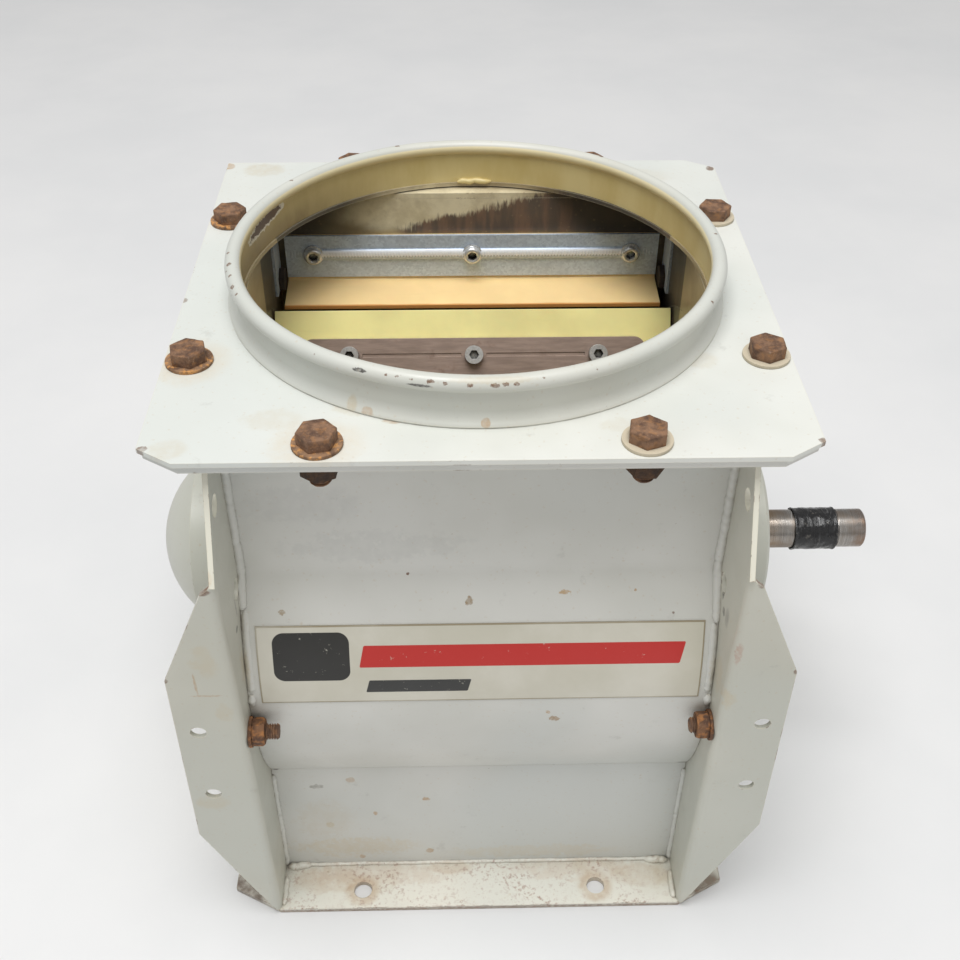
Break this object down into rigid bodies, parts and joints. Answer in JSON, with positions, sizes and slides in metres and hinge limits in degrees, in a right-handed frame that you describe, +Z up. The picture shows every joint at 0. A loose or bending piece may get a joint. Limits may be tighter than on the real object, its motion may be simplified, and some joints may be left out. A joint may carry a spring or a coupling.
{
  "type": "rotary airlock valve",
  "caption": "Rotary airlock valve: a square-flanged sheet-metal housing with a round beaded inlet collar, a bladed rotor on a horizontal shaft, a wiping flap and an open outlet flange.",
  "frame": {"origin": "centre of the outlet flange's underside, which is the face that the valve stands on", "axes": "+X along the rotor shaft towards its drive end, +Y to the rear, where the wiping flap is, +Z up to the inlet collar"},
  "size_m": [0.5058, 0.388, 0.444],
  "materials": {
    "body_paint": "worn off-white gloss enamel, rust specks",
    "top_paint": "worn off-white gloss enamel, chipped edges",
    "collar_paint": "worn off-white enamel, yellowed inside",
    "gasket_rubber": "dark aged rubber",
    "shaft_steel": "turned steel, worn and stained",
    "rotor_steel": "dull brown grey, dusty",
    "black_tape": "wrinkled glossy tape",
    "galvanised_steel": "galvanised, fine spangle",
    "flap_polyurethane": "smooth tan polyurethane",
    "blade_polyurethane": "smooth yellow polyurethane",
    "brown_steel": "brown rust film over steel",
    "screw_steel": "dull zinc",
    "dark_bolt_steel": "dark and dusty",
    "rusty_bolt_steel": "brown rust",
    "rusty_nut_steel": "orange brown rust",
    "rusty_washer_steel": "paint and ochre rust",
    "bearing_steel": "ground steel"
  },
  "bodies": {
    "housing": {"base_plate": "body_paint", "bearing_cap_left": "body_paint", "bearing_housing_left": "body_paint", "bearing_housing_right": "body_paint", "bearing_outer_ring_left": "bearing_steel", "bearing_outer_ring_right": "bearing_steel", "body_flange": "body_paint", "cover_bolts": "rusty_bolt_steel", "cover_nuts": "rusty_nut_steel", "cover_washers": "rusty_nut_steel", "end_cover_left": "body_paint", "end_cover_right": "body_paint", "end_plate_left": "body_paint", "end_plate_right": "body_paint", "inlet_bolts": "rusty_bolt_steel", "inlet_collar": "collar_paint", "inlet_gasket": "gasket_rubber", "inlet_nuts": "rusty_bolt_steel", "inlet_plate": "top_paint", "inlet_washers": "rusty_washer_steel", "outlet_panel_front": "body_paint", "outlet_panel_rear": "body_paint", "scraper_cheek_left": "galvanised_steel", "scraper_cheek_right": "galvanised_steel", "scraper_end_bolts": "dark_bolt_steel", "scraper_end_nuts": "dark_bolt_steel", "scraper_flap": "flap_polyurethane", "scraper_nuts": "screw_steel", "scraper_screws": "screw_steel", "scraper_strip": "galvanised_steel", "scraper_washers": "screw_steel", "shaft_seal_right": "gasket_rubber", "shell_front": "body_paint", "shell_rear": "body_paint"},
    "rotor": {"bearing_balls": "bearing_steel", "bearing_inner_ring_left": "bearing_steel", "bearing_inner_ring_right": "bearing_steel", "blade_1": "blade_polyurethane", "blade_2": "blade_polyurethane", "blade_3": "blade_polyurethane", "blade_4": "blade_polyurethane", "blade_5": "blade_polyurethane", "blade_6": "blade_polyurethane", "blade_7": "blade_polyurethane", "blade_8": "blade_polyurethane", "blade_nuts": "screw_steel", "blade_screws": "screw_steel", "clamp_strip_1": "brown_steel", "clamp_strip_2": "brown_steel", "clamp_strip_3": "brown_steel", "clamp_strip_4": "brown_steel", "clamp_strip_5": "brown_steel", "clamp_strip_6": "brown_steel", "clamp_strip_7": "brown_steel", "clamp_strip_8": "brown_steel", "drive_key": "shaft_steel", "rotor_drum": "rotor_steel", "rotor_shaft": "shaft_steel", "shaft_tape": "black_tape"}
  },
  "joints": [
    {"name": "rotor_spin", "type": "hinge", "parent": "housing", "child": "rotor", "pos_m": [0, 0, 0.207], "axis": [1, 0, 0], "continuous": true}
  ]
}
